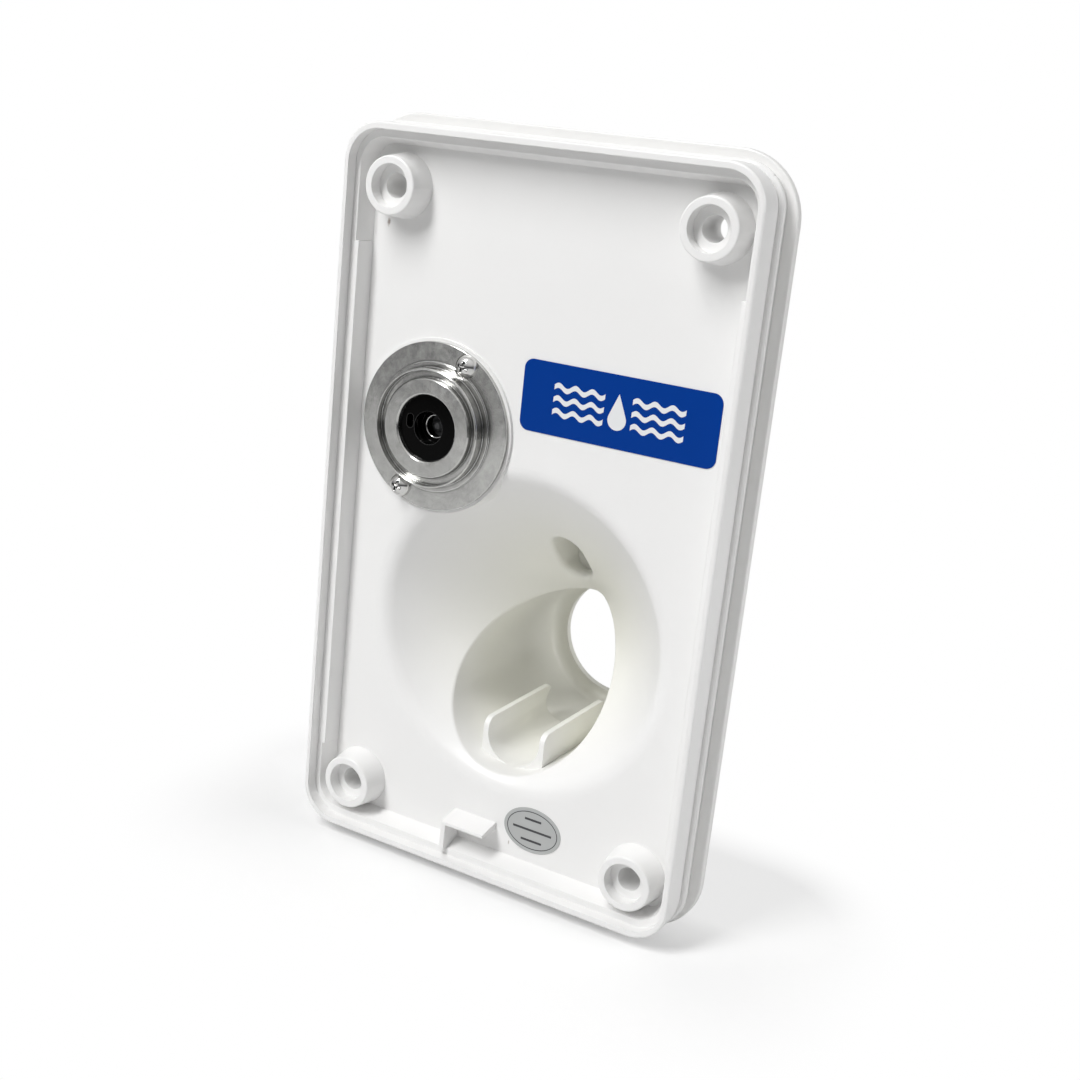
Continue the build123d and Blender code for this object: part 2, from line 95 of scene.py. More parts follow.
def add_light(name, place, size, watts):
    """A white softbox that faces the middle of the housing."""
    lamp = bpy.data.lights.new(name, "AREA")
    lamp.shape = "RECTANGLE"
    lamp.size, lamp.size_y = size
    lamp.energy = watts
    softbox = bpy.data.objects.new(name, lamp)
    softbox.location = place
    softbox.rotation_euler = (-Vector(place)).to_track_quat("-Z", "Y").to_euler()
    bpy.context.scene.collection.objects.link(softbox)


add_light("key_light", place=(-0.28, -0.70, 0.84), size=(0.26, 0.80), watts=11.25)
add_light("side_light", place=(0.80, 0.22, 0.16), size=(0.5, 0.7), watts=2.8)

# The room gives an even white light. Metal mirrors it as bands that go from grey at the floor through
# dark at eye level to white overhead.
room_light = 0.23
room_bands = (
    (0.30, (0.40, 0.40, 0.40, 1)),
    (0.95, (1, 1, 1, 1)),
    (0.52, (0.06, 0.06, 0.065, 1)),
    (0.66, (0.62, 0.62, 0.62, 1)),
)
world = bpy.data.worlds.new("studio")
bpy.context.scene.world = world
world.use_nodes = True
tree = world.node_tree
tree.nodes.clear()
path = add_node(tree, "ShaderNodeLightPath")
shown = add_node(tree, "ShaderNodeMath", operation="MAXIMUM")
tree.links.new(path.outputs["Is Camera Ray"], shown.inputs[0])
tree.links.new(path.outputs["Is Transmission Ray"], shown.inputs[1])
soft = add_node(tree, "ShaderNodeBackground", inputs={"Color": (1, 1, 1, 1), "Strength": room_light})
white = add_node(tree, "ShaderNodeBackground", inputs={"Color": (1, 1, 1, 1), "Strength": 1.0})
direction = add_node(tree, "ShaderNodeTexCoord")
height = add_node(tree, "ShaderNodeSeparateXYZ")
bands = add_node(tree, "ShaderNodeValToRGB")
stops = bands.color_ramp.elements
for index, (height_share, colour) in enumerate(room_bands):
    stop = stops[index] if index < 2 else stops.new(height_share)
    stop.position = height_share
    stop.color = colour
lifted = add_node(tree, "ShaderNodeMath", operation="MULTIPLY_ADD", inputs={1: 0.5, 2: 0.5})
mirrored = add_node(tree, "ShaderNodeBackground", inputs={"Strength": 1.0})
glossy_mix = add_node(tree, "ShaderNodeMixShader")
camera_mix = add_node(tree, "ShaderNodeMixShader")
out = add_node(tree, "ShaderNodeOutputWorld")
tree.links.new(direction.outputs["Generated"], height.inputs[0])
tree.links.new(height.outputs["Z"], lifted.inputs[0])
tree.links.new(lifted.outputs[0], bands.inputs["Fac"])
tree.links.new(bands.outputs["Color"], mirrored.inputs["Color"])
tree.links.new(path.outputs["Is Glossy Ray"], glossy_mix.inputs[0])
tree.links.new(soft.outputs[0], glossy_mix.inputs[1])
tree.links.new(mirrored.outputs[0], glossy_mix.inputs[2])
tree.links.new(shown.outputs[0], camera_mix.inputs[0])
tree.links.new(glossy_mix.outputs[0], camera_mix.inputs[1])
tree.links.new(white.outputs[0], camera_mix.inputs[2])
tree.links.new(camera_mix.outputs[0], out.inputs["Surface"])

# The floor is pale and matt. It shows the housing's shadow, and turns white a short way off.
floor_half = 0.5
floor_z = cad_low.z
floor_lift = 0.15
white_distance = 0.05
back_shade_start, back_shade_end, back_whiteness = -0.014, 0.010, 0.65
floor_mesh = bpy.data.meshes.new("floor")
floor_mesh.from_pydata(
    [(x * floor_half, y * floor_half, floor_z) for x, y in ((-1, -1), (1, -1), (1, 1), (-1, 1))],
    [],
    [(0, 1, 2, 3)],
)
floor = bpy.data.objects.new("floor", floor_mesh)
bpy.context.scene.collection.objects.link(floor)
floor_paint = bpy.data.materials.new("floor_paint")
floor_paint.use_nodes = True
tree = floor_paint.node_tree
tree.nodes.clear()
path = add_node(tree, "ShaderNodeLightPath")
matt = add_node(tree, "ShaderNodeBsdfDiffuse", inputs={"Color": (0.82, 0.82, 0.82, 1)})
glow = add_node(tree, "ShaderNodeEmission", inputs={"Color": (1, 1, 1, 1)})
lift = add_node(tree, "ShaderNodeMath", operation="MULTIPLY", inputs={1: floor_lift})
both = add_node(tree, "ShaderNodeAddShader")
backdrop = add_node(tree, "ShaderNodeEmission", inputs={"Color": (1, 1, 1, 1), "Strength": 1.0})
spot = add_node(tree, "ShaderNodeTexCoord")
one_side = add_node(tree, "ShaderNodeVectorMath", operation="ABSOLUTE")
beyond = add_node(
    tree, "ShaderNodeVectorMath", operation="SUBTRACT", inputs={1: (cad_high.x, abs(cad_low.y), 1.0)}
)
outside = add_node(tree, "ShaderNodeVectorMath", operation="MAXIMUM")
away = add_node(tree, "ShaderNodeVectorMath", operation="LENGTH")
fade = add_node(
    tree, "ShaderNodeMapRange", interpolation_type="SMOOTHSTEP", inputs={"From Max": white_distance}
)
depth = add_node(tree, "ShaderNodeSeparateXYZ")
behind = add_node(
    tree,
    "ShaderNodeMapRange",
    inputs={"From Min": back_shade_start, "From Max": back_shade_end, "To Max": back_whiteness},
)
whiter = add_node(tree, "ShaderNodeMath", operation="MAXIMUM")
seen = add_node(tree, "ShaderNodeMath", operation="MULTIPLY")
ends = add_node(tree, "ShaderNodeMixShader")
out = add_node(tree, "ShaderNodeOutputMaterial")
tree.links.new(path.outputs["Is Camera Ray"], lift.inputs[0])
tree.links.new(lift.outputs[0], glow.inputs["Strength"])
tree.links.new(matt.outputs[0], both.inputs[0])
tree.links.new(glow.outputs[0], both.inputs[1])
tree.links.new(spot.outputs["Object"], one_side.inputs[0])
tree.links.new(one_side.outputs[0], beyond.inputs[0])
tree.links.new(beyond.outputs[0], outside.inputs[0])
tree.links.new(outside.outputs[0], away.inputs[0])
tree.links.new(away.outputs["Value"], fade.inputs["Value"])
tree.links.new(spot.outputs["Object"], depth.inputs[0])
tree.links.new(depth.outputs["Y"], behind.inputs["Value"])
tree.links.new(fade.outputs["Result"], whiter.inputs[0])
tree.links.new(behind.outputs["Result"], whiter.inputs[1])
tree.links.new(whiter.outputs[0], seen.inputs[0])
tree.links.new(path.outputs["Is Camera Ray"], seen.inputs[1])
tree.links.new(seen.outputs[0], ends.inputs[0])
tree.links.new(both.outputs[0], ends.inputs[1])
tree.links.new(backdrop.outputs[0], ends.inputs[2])
tree.links.new(ends.outputs[0], out.inputs["Surface"])
floor_mesh.materials.append(floor_paint)


# The housing: one white injection moulding with its rim, tray floor, four screw bosses, dish, tube,
# trough and lid catch. The skin has a very fine mould texture, soft edges and a faint tone change.
def new_group(name, inputs, outputs):
    """An empty shader group with float, colour or vector sockets."""
    group = bpy.data.node_groups.new(name, "ShaderNodeTree")
    kinds = {"float": "NodeSocketFloat", "colour": "NodeSocketColor", "vector": "NodeSocketVector"}
    for label, kind, value in inputs:
        socket = group.interface.new_socket(label, in_out="INPUT", socket_type=kinds[kind])
        socket.default_value = value
    for label, kind in outputs:
        group.interface.new_socket(label, in_out="OUTPUT", socket_type=kinds[kind])
    return group, group.nodes.new("NodeGroupInput"), group.nodes.new("NodeGroupOutput")


skin_group, skin_in, skin_out = new_group(
    "moulded_skin",
    [
        ("Light Colour", "colour", (0.85, 0.85, 0.85, 1)),
        ("Dark Colour", "colour", (0.8, 0.8, 0.8, 1)),
        ("Grain Size", "float", 1600.0),
        ("Smooth", "float", 0.3),
        ("Rough", "float", 0.4),
    ],
    [("Colour", "colour"), ("Roughness", "float"), ("Height", "float")],
)
place = add_node(skin_group, "ShaderNodeTexCoord")
grain = add_node(skin_group, "ShaderNodeTexNoise", inputs={"Detail": 3.0, "Roughness": 0.55})
waves = add_node(skin_group, "ShaderNodeTexNoise", inputs={"Scale": 55.0, "Detail": 2.0})
tone = add_node(skin_group, "ShaderNodeTexNoise", inputs={"Scale": 14.0, "Detail": 4.0})
tone_mix = add_node(skin_group, "ShaderNodeMix", data_type="RGBA")
sum_height = add_node(skin_group, "ShaderNodeMath", operation="MULTIPLY_ADD", inputs={1: 2.5})
gloss = add_node(skin_group, "ShaderNodeMapRange")
for texture in (grain, waves, tone):
    skin_group.links.new(place.outputs["Object"], texture.inputs["Vector"])
skin_group.links.new(skin_in.outputs["Grain Size"], grain.inputs["Scale"])
skin_group.links.new(tone.outputs["Fac"], tone_mix.inputs["Factor"])
skin_group.links.new(skin_in.outputs["Dark Colour"], tone_mix.inputs[6])
skin_group.links.new(skin_in.outputs["Light Colour"], tone_mix.inputs[7])
skin_group.links.new(waves.outputs["Fac"], sum_height.inputs[0])
skin_group.links.new(grain.outputs["Fac"], sum_height.inputs[2])
skin_group.links.new(waves.outputs["Fac"], gloss.inputs["Value"])
skin_group.links.new(skin_in.outputs["Smooth"], gloss.inputs["To Min"])
skin_group.links.new(skin_in.outputs["Rough"], gloss.inputs["To Max"])
skin_group.links.new(tone_mix.outputs[2], skin_out.inputs["Colour"])
skin_group.links.new(gloss.outputs["Result"], skin_out.inputs["Roughness"])
skin_group.links.new(sum_height.outputs[0], skin_out.inputs["Height"])


def start_material(name, edge_radius, bump_depth, **constants):
    """A material with a surface shader, softened edges and a bump ready for a height."""
    material = bpy.data.materials.new(name)
    material.use_nodes = True
    tree = material.node_tree
    tree.nodes.clear()
    surface = add_node(tree, "ShaderNodeBsdfPrincipled", name="surface", inputs=constants)
    out = add_node(tree, "ShaderNodeOutputMaterial")
    edges = add_node(tree, "ShaderNodeBevel", samples=6, inputs={"Radius": edge_radius})
    bump = add_node(tree, "ShaderNodeBump", inputs={"Strength": 1.0, "Distance": bump_depth})
    tree.links.new(edges.outputs["Normal"], bump.inputs["Normal"])
    tree.links.new(bump.outputs["Normal"], surface.inputs["Normal"])
    tree.links.new(surface.outputs["BSDF"], out.inputs["Surface"])
    return material, tree, surface, bump


def moulded_material(name, light, dark, grain_size, smooth, rough, edge_radius, bump_depth, **constants):
    """Moulded or printed stuff, with two close tones, a fine grain and soft edges."""
    material, tree, surface, bump = start_material(name, edge_radius, bump_depth, **constants)
    skin = add_node(tree, "ShaderNodeGroup", name="skin", node_tree=skin_group)
    skin.inputs["Light Colour"].default_value = (*light, 1)
    skin.inputs["Dark Colour"].default_value = (*dark, 1)
    skin.inputs["Grain Size"].default_value = grain_size
    skin.inputs["Smooth"].default_value = smooth
    skin.inputs["Rough"].default_value = rough
    tree.links.new(skin.outputs["Colour"], surface.inputs["Base Color"])
    tree.links.new(skin.outputs["Roughness"], surface.inputs["Roughness"])
    tree.links.new(skin.outputs["Height"], bump.inputs["Height"])
    return material


def dress(node_name, material):
    """Gives a frame node its material."""
    body = nodes[node_name]
    body.data.materials.clear()
    body.data.materials.append(material)
    return body


white_plastic = moulded_material(
    "white_plastic",
    light=(0.870, 0.867, 0.860),
    dark=(0.846, 0.843, 0.836),
    grain_size=1500.0,
    smooth=0.26,
    rough=0.36,
    edge_radius=0.0003,
    bump_depth=0.000006,
)

# Deep inside the dish and tube the white is painted warmer, as painted warm bounce light. A few small
# spots are tinted, each with its place, half its size and its colour.
warm_start, warm_end, warm_white = -0.004, 0.02, (0.902, 0.899, 0.838, 1)
small_marks = (
    ((-0.0458, -0.0068, 0.0690), (0.0007, 0.0010, 0.0014), (0.33, 0.28, 0.25, 1)),
    ((0.0515, -0.0051, 0.0905), (0.0004, 0.0030, 0.0004), (0.62, 0.61, 0.60, 1)),
    ((-0.0091, -0.0100, -0.0884), (0.0005, 0.0012, 0.0005), (0.50, 0.46, 0.42, 1)),
    ((0.0056, -0.0068, -0.0822), (0.0003, 0.0010, 0.0009), (0.52, 0.48, 0.44, 1)),
)
mark_group, mark_in, mark_out = new_group(
    "small_mark",
    [("Place", "vector", (0, 0, 0)), ("Across", "vector", (0.001, 0.001, 0.001))],
    [("Mask", "float")],
)
place = add_node(mark_group, "ShaderNodeTexCoord")
offset = add_node(mark_group, "ShaderNodeVectorMath", operation="SUBTRACT")
shares = add_node(mark_group, "ShaderNodeVectorMath", operation="DIVIDE")
reach = add_node(mark_group, "ShaderNodeVectorMath", operation="LENGTH")
ragged = add_node(mark_group, "ShaderNodeTexNoise", inputs={"Scale": 900.0, "Detail": 3.0})
ragged_reach = add_node(mark_group, "ShaderNodeMath", operation="ADD")
inside = add_node(mark_group, "ShaderNodeMapRange", inputs={"From Min": 1.35, "From Max": 0.75})
link = mark_group.links.new
link(place.outputs["Object"], offset.inputs[0])
link(mark_in.outputs["Place"], offset.inputs[1])
link(offset.outputs[0], shares.inputs[0])
link(mark_in.outputs["Across"], shares.inputs[1])
link(shares.outputs[0], reach.inputs[0])
link(place.outputs["Object"], ragged.inputs["Vector"])
link(reach.outputs["Value"], ragged_reach.inputs[0])
link(ragged.outputs["Fac"], ragged_reach.inputs[1])
link(ragged_reach.outputs[0], inside.inputs["Value"])
link(inside.outputs["Result"], mark_out.inputs["Mask"])

tree = white_plastic.node_tree
place = add_node(tree, "ShaderNodeTexCoord")
depth = add_node(tree, "ShaderNodeSeparateXYZ")
inner = add_node(tree, "ShaderNodeMapRange", inputs={"From Min": warm_start, "From Max": warm_end})
inner_mix = add_node(tree, "ShaderNodeMix", data_type="RGBA", inputs={7: warm_white})
tree.links.new(place.outputs["Object"], depth.inputs[0])
tree.links.new(depth.outputs["Y"], inner.inputs["Value"])
tree.links.new(inner.outputs["Result"], inner_mix.inputs["Factor"])
tree.links.new(tree.nodes["skin"].outputs["Colour"], inner_mix.inputs[6])
shade = inner_mix
for spot, across, colour in small_marks:
    mark = add_node(tree, "ShaderNodeGroup", node_tree=mark_group, inputs={"Place": spot, "Across": across})
    stained = add_node(tree, "ShaderNodeMix", data_type="RGBA", inputs={7: colour})
    tree.links.new(mark.outputs["Mask"], stained.inputs["Factor"])
    tree.links.new(shade.outputs[2], stained.inputs[6])
    shade = stained
tree.links.new(shade.outputs[2], tree.nodes["surface"].inputs["Base Color"])
dress("housing", white_plastic)


# The wall gasket: a band of dark grey foam, cut from sheet and laid in the groove behind the flange,
# where the wall squeezes it.
foam = moulded_material(
    "gasket_foam",
    light=(0.05, 0.05, 0.052),
    dark=(0.03, 0.03, 0.032),
    grain_size=2600.0,
    smooth=0.75,
    rough=0.9,
    edge_radius=0.0002,
    bump_depth=0.00006,
)
dress("wall_gasket", foam)


# The socket: a turned and plated metal body with a screwed flange, a step, a barrel and a face ring.
# Its edges are slightly broken and carry a painted highlight, its hollows carry painted shade,
# and the plating shows turning marks and a mottled sheen.
socket_low, socket_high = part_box("socket_body")
socket_x = (socket_low.x + socket_high.x) / 2
socket_z = (socket_low.z + socket_high.z) / 2
# The radius of the edges that get a painted highlight.
edge_highlight_radius = 0.0003

# The mask of a piece's edges. The turned metals paint a highlight there, and the black insert gets a clear
# coat there.
edge_group, edge_in, edge_out = new_group(
    "edge_highlight_mask",
    [("Radius", "float", edge_highlight_radius)],
    [("Mask", "float")],
)
rounded = add_node(edge_group, "ShaderNodeBevel", samples=6)
facing = add_node(edge_group, "ShaderNodeNewGeometry")
agree = add_node(edge_group, "ShaderNodeVectorMath", operation="DOT_PRODUCT")
on_edge = add_node(edge_group, "ShaderNodeMapRange", inputs={"From Min": 0.985, "From Max": 0.90})
edge_group.links.new(edge_in.outputs["Radius"], rounded.inputs["Radius"])
edge_group.links.new(rounded.outputs["Normal"], agree.inputs[0])
edge_group.links.new(facing.outputs["Normal"], agree.inputs[1])
edge_group.links.new(agree.outputs["Value"], on_edge.inputs["Value"])
edge_group.links.new(on_edge.outputs["Result"], edge_out.inputs["Mask"])

# Turning rings round the socket's axis, a mottled tone, painted shade in the hollows and a painted
# highlight on the edges.
rings_group, rings_in, rings_out = new_group(
    "turned_marks",
    [
        ("Light Colour", "colour", (0.7, 0.7, 0.7, 1)),
        ("Dark Colour", "colour", (0.5, 0.5, 0.5, 1)),
        ("Smooth", "float", 0.15),
        ("Rough", "float", 0.35),
        ("Hollow Shade Colour", "colour", (0.05, 0.05, 0.05, 1)),
        ("Edge Highlight Colour", "colour", (0.85, 0.85, 0.84, 1)),
    ],
    [("Colour", "colour"), ("Roughness", "float"), ("Height", "float")],
)
place = add_node(rings_group, "ShaderNodeTexCoord")
centred = add_node(
    rings_group, "ShaderNodeVectorMath", operation="SUBTRACT", inputs={1: (socket_x, 0.0, socket_z)}
)
parts = add_node(rings_group, "ShaderNodeSeparateXYZ")
flat = add_node(rings_group, "ShaderNodeCombineXYZ")
radius = add_node(rings_group, "ShaderNodeVectorMath", operation="LENGTH")
along = add_node(rings_group, "ShaderNodeCombineXYZ")
fine_rings = add_node(
    rings_group, "ShaderNodeTexNoise", noise_dimensions="2D", inputs={"Scale": 9000.0, "Detail": 2.0}
)
mottle = add_node(
    rings_group, "ShaderNodeTexNoise", inputs={"Scale": 420.0, "Detail": 6.0, "Roughness": 0.7}
)
mottle_curve = add_node(rings_group, "ShaderNodeMapRange", inputs={"From Min": 0.32, "From Max": 0.70})
# Painted shade: the hollows darken towards the hollow colour.
hollow = add_node(
    rings_group, "ShaderNodeAmbientOcclusion", samples=8, only_local=True, inputs={"Distance": 0.0012}
)
hollow_curve = add_node(rings_group, "ShaderNodeMapRange", inputs={"From Min": 0.40, "From Max": 0.90})
hollow_mix = add_node(rings_group, "ShaderNodeMix", data_type="RGBA")
edge = add_node(rings_group, "ShaderNodeGroup", node_tree=edge_group, inputs={"Radius": edge_highlight_radius})
edge_mix = add_node(rings_group, "ShaderNodeMix", data_type="RGBA")
tone_mix = add_node(rings_group, "ShaderNodeMix", data_type="RGBA")
gloss = add_node(rings_group, "ShaderNodeMapRange", inputs={"From Min": 0.3, "From Max": 0.75})
sum_height = add_node(rings_group, "ShaderNodeMath", operation="MULTIPLY_ADD", inputs={1: 0.6})
link = rings_group.links.new
link(place.outputs["Object"], centred.inputs[0])
link(centred.outputs[0], parts.inputs[0])
link(parts.outputs["X"], flat.inputs["X"])
link(parts.outputs["Z"], flat.inputs["Z"])
link(flat.outputs[0], radius.inputs[0])
link(radius.outputs["Value"], along.inputs["X"])
link(parts.outputs["Y"], along.inputs["Y"])
link(along.outputs[0], fine_rings.inputs["Vector"])
link(centred.outputs[0], mottle.inputs["Vector"])
link(mottle.outputs["Fac"], mottle_curve.inputs["Value"])
link(mottle_curve.outputs["Result"], tone_mix.inputs["Factor"])
link(rings_in.outputs["Dark Colour"], tone_mix.inputs[6])
link(rings_in.outputs["Light Colour"], tone_mix.inputs[7])
link(mottle.outputs["Fac"], gloss.inputs["Value"])
link(rings_in.outputs["Smooth"], gloss.inputs["To Min"])
link(rings_in.outputs["Rough"], gloss.inputs["To Max"])
link(mottle.outputs["Fac"], sum_height.inputs[0])
link(fine_rings.outputs["Fac"], sum_height.inputs[2])
link(hollow.outputs["AO"], hollow_curve.inputs["Value"])
link(hollow_curve.outputs["Result"], hollow_mix.inputs["Factor"])
link(rings_in.outputs["Hollow Shade Colour"], hollow_mix.inputs[6])
link(tone_mix.outputs[2], hollow_mix.inputs[7])
# Painted highlight: the edges turn to the edge colour.
link(edge.outputs["Mask"], edge_mix.inputs["Factor"])
link(hollow_mix.outputs[2], edge_mix.inputs[6])
link(rings_in.outputs["Edge Highlight Colour"], edge_mix.inputs[7])
link(edge_mix.outputs[2], rings_out.inputs["Colour"])
link(gloss.outputs["Result"], rings_out.inputs["Roughness"])
link(sum_height.outputs[0], rings_out.inputs["Height"])


def turned_material(name, light, dark, hollow, smooth, rough, edge_radius, bump_depth, streak=0.0):
    """Metal with turning marks, painted shade in its hollows and a painted highlight on its edges.
    A streak above zero draws its highlights out along the radius.
    """
    constants = {"Metallic": 1.0, "Anisotropic": streak, "Anisotropic Rotation": 0.25}
    material, tree, surface, bump = start_material(name, edge_radius, bump_depth, **constants)
    around = add_node(tree, "ShaderNodeTangent", direction_type="RADIAL", axis="Y")
    tree.links.new(around.outputs["Tangent"], surface.inputs["Tangent"])
    marks = add_node(tree, "ShaderNodeGroup", name="marks", node_tree=rings_group)
    marks.inputs["Light Colour"].default_value = (*light, 1)
    marks.inputs["Dark Colour"].default_value = (*dark, 1)
    marks.inputs["Smooth"].default_value = smooth
    marks.inputs["Rough"].default_value = rough
    marks.inputs["Hollow Shade Colour"].default_value = (*hollow, 1)
    tree.links.new(marks.outputs["Colour"], surface.inputs["Base Color"])
    tree.links.new(marks.outputs["Roughness"], surface.inputs["Roughness"])
    tree.links.new(marks.outputs["Height"], bump.inputs["Height"])
    return material


plated_metal = turned_material(
    "plated_metal",
    light=(0.62, 0.62, 0.60),
    dark=(0.38, 0.38, 0.37),
    hollow=(0.05, 0.05, 0.05),
    smooth=0.18,
    rough=0.27,
    edge_radius=0.0003,
    bump_depth=0.000002,
    streak=0.8,
)
dress("socket_body", plated_metal)


# The outside thread on the socket's spigot, of the same plated metal. It is cut from behind the tray
# floor to where the union nut hides it.
spigot_radius = 0.011
thread_pitch, thread_height, thread_root = 0.0015, 0.00045, 0.00010
thread_start = -0.0035
nut_clearance = 0.0003
thread_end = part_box("union_nut")[0].y - nut_clearance
thread_half_width = thread_pitch * 0.46
turn_steps = 72


def thread_ridge(name, start, end, material):
    """One helical ridge of triangular section that rises out of the spigot and sinks back at both ends."""
    mesh = bpy.data.meshes.new(name)
    built = bmesh.new()
    steps = int((end - start - 2 * thread_half_width) / thread_pitch * turn_steps)
    before = None
    for step in range(steps + 1):
        angle = 2 * math.pi * step / turn_steps
        middle = start + thread_half_width + thread_pitch * step / turn_steps
        run_out = min(1.0, step / turn_steps * 2, (steps - step) / turn_steps * 2)
        profile = (
            (spigot_radius - thread_root, middle - thread_half_width),
            (spigot_radius + thread_height * run_out, middle),
            (spigot_radius - thread_root, middle + thread_half_width),
        )
        section = [
            built.verts.new((socket_x + reach * math.cos(angle), along, socket_z + reach * math.sin(angle)))
            for reach, along in profile
        ]
        if before:
            for index in range(3):
                after = (index + 1) % 3
                built.faces.new((before[index], before[after], section[after], section[index]))
        else:
            built.faces.new(section)
        before = section
    built.faces.new(list(reversed(before)))
    bmesh.ops.recalc_face_normals(built, faces=built.faces)
    built.to_mesh(mesh)
    built.free()
    mesh.materials.append(material)
    piece = bpy.data.objects.new(name, mesh)
    bpy.context.scene.collection.objects.link(piece)
    return piece


thread_piece = thread_ridge("spigot_thread", thread_start, thread_end, plated_metal)
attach(thread_piece, "socket")


# The two pan-head screws that hold the socket to the tray floor: polished steel, with a cross recess
# that is painted nearly black as shade.
bright_steel = turned_material(
    "bright_steel",
    light=(0.72, 0.71, 0.70),
    dark=(0.60, 0.60, 0.59),
    hollow=(0.012, 0.012, 0.012),
    smooth=0.06,
    rough=0.14,
    edge_radius=0.00012,
    bump_depth=0.000001,
)
for name in ("socket_screw_upper", "socket_screw_lower"):
    dress(name, bright_steel)


# The black insert pressed into the socket's bore: a glossy plastic moulding with the stepped water way
# and a side recess for the plug's key. Only its edges catch the light.
black_plastic = moulded_material(
    "black_plastic",
    light=(0.003, 0.003, 0.003),
    dark=(0.001, 0.001, 0.001),
    grain_size=1800.0,
    smooth=0.08,
    rough=0.16,
    edge_radius=0.00018,
    bump_depth=0.000002,
    **{"Specular IOR Level": 0.04, "Coat Roughness": 0.05},
)
tree = black_plastic.node_tree
edge = add_node(tree, "ShaderNodeGroup", node_tree=edge_group, inputs={"Radius": 0.0004})
tree.links.new(edge.outputs["Mask"], tree.nodes["surface"].inputs["Coat Weight"])
dress("socket_insert", black_plastic)


# The valve seat in the mouth of the throat: a thin ring of polished steel, pressed into the corner of
# the step in the black insert.
seat_radius, seat_wire = 0.00285, 0.00022
seat_depth = 0.0035
seat_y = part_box("socket_insert")[0].y + seat_depth
seat_steps, seat_sides = 72, 12


def seat_ring(name, material):
    """A closed ring of round section around the water way."""
    corners, faces = [], []
    for step in range(seat_steps):
        angle = 2 * math.pi * step / seat_steps
        for side in range(seat_sides):
            turn = 2 * math.pi * side / seat_sides
            reach = seat_radius + seat_wire * math.cos(turn)
            corners.append(
                (
                    socket_x + reach * math.cos(angle),
                    seat_y + seat_wire * math.sin(turn),
                    socket_z + reach * math.sin(angle),
                )
            )
            after, beside = (step + 1) % seat_steps * seat_sides, (side + 1) % seat_sides
            first = step * seat_sides
            faces.append((first + side, first + beside, after + beside, after + side))
    mesh = bpy.data.meshes.new(name)
    mesh.from_pydata(corners, [], faces)
    built = bmesh.new()
    built.from_mesh(mesh)
    bmesh.ops.recalc_face_normals(built, faces=built.faces)
    built.to_mesh(mesh)
    built.free()
    for face in mesh.polygons:
        face.use_smooth = True
    mesh.materials.append(material)
    piece = bpy.data.objects.new(name, mesh)
    bpy.context.scene.collection.objects.link(piece)
    return piece


seat_piece = seat_ring("valve_seat_ring", bright_steel)
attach(seat_piece, "socket")


# The seals: the ring under the socket's flange, the poppet's ring and the washer of the hose tail.
# They are moulded in black rubber and squeezed between the pieces they seal.
seal_rubber = moulded_material(
    "seal_rubber",
    light=(0.03, 0.03, 0.031),
    dark=(0.018, 0.018, 0.02),
    grain_size=2200.0,
    smooth=0.5,
    rough=0.7,
    edge_radius=0.0001,
    bump_depth=0.00001,
)
for name in ("socket_gasket", "poppet_seal", "tail_washer"):
    dress(name, seal_rubber)


# The valve in the chamber: the poppet that opens inwards, the plate that guides its stem and the ring
# that holds the plate, all moulded in dark grey plastic.
grey_plastic = moulded_material(
    "grey_plastic",
    light=(0.07, 0.072, 0.075),
    dark=(0.05, 0.052, 0.054),
    grain_size=1800.0,
    smooth=0.35,
    rough=0.5,
    edge_radius=0.0001,
    bump_depth=0.000006,
)
for name in ("valve_poppet", "spring_guide", "guide_ring"):
    dress(name, grey_plastic)


# The spring behind the poppet: round steel wire wound in four turns, held at its deep end by the guide
# plate. It shortens towards that end when the valve is pushed open.
spring_low, spring_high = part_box("valve_spring")
wire_radius = 0.00033
spring_turns, wire_sides, coil_steps = 4, 12, 48


def round_coil(name, material):
    """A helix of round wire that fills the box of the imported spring."""
    mesh = bpy.data.meshes.new(name)
    built = bmesh.new()
    centre_x, centre_z = (spring_low.x + spring_high.x) / 2, (spring_low.z + spring_high.z) / 2
    coil_radius = (spring_high.x - spring_low.x) / 2 - wire_radius
    start, end = spring_low.y + wire_radius, spring_high.y - wire_radius
    total = spring_turns * coil_steps
    before = None
    for step in range(total + 1):
        angle = 2 * math.pi * step / coil_steps
        outward = Vector((math.cos(angle), 0, math.sin(angle)))
        middle = Vector((centre_x, start + (end - start) * step / total, centre_z)) + outward * coil_radius
        section = []
        for side in range(wire_sides):
            turn = 2 * math.pi * side / wire_sides
            lean = math.cos(turn) * outward + math.sin(turn) * Vector((0, 1, 0))
            section.append(built.verts.new(middle + wire_radius * lean))
        if before:
            for index in range(wire_sides):
                after = (index + 1) % wire_sides
                built.faces.new((before[index], before[after], section[after], section[index]))
        else:
            built.faces.new(section)
        before = section
    built.faces.new(list(reversed(before)))
    bmesh.ops.recalc_face_normals(built, faces=built.faces)
    for face in built.faces:
        face.smooth = len(face.verts) == 4
    built.to_mesh(mesh)
    built.free()
    mesh.materials.append(material)
    piece = bpy.data.objects.new(name, mesh)
    bpy.context.scene.collection.objects.link(piece)
    return piece


spring_piece = round_coil("coil_spring", bright_steel)
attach(spring_piece, "socket")
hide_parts("valve_spring")
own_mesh(spring_piece)


# The hose tail and its union nut behind the wall: both turned from brass. The nut screws on the spigot
# and clamps the tail's flange on its washer.
brass = turned_material(
    "turned_brass",
    light=(0.78, 0.60, 0.30),
    dark=(0.62, 0.45, 0.20),
    hollow=(0.05, 0.05, 0.05),
    smooth=0.18,
    rough=0.36,
    edge_radius=0.0002,
    bump_depth=0.000004,
)
for name in ("hose_tail", "union_nut"):
    dress(name, brass)


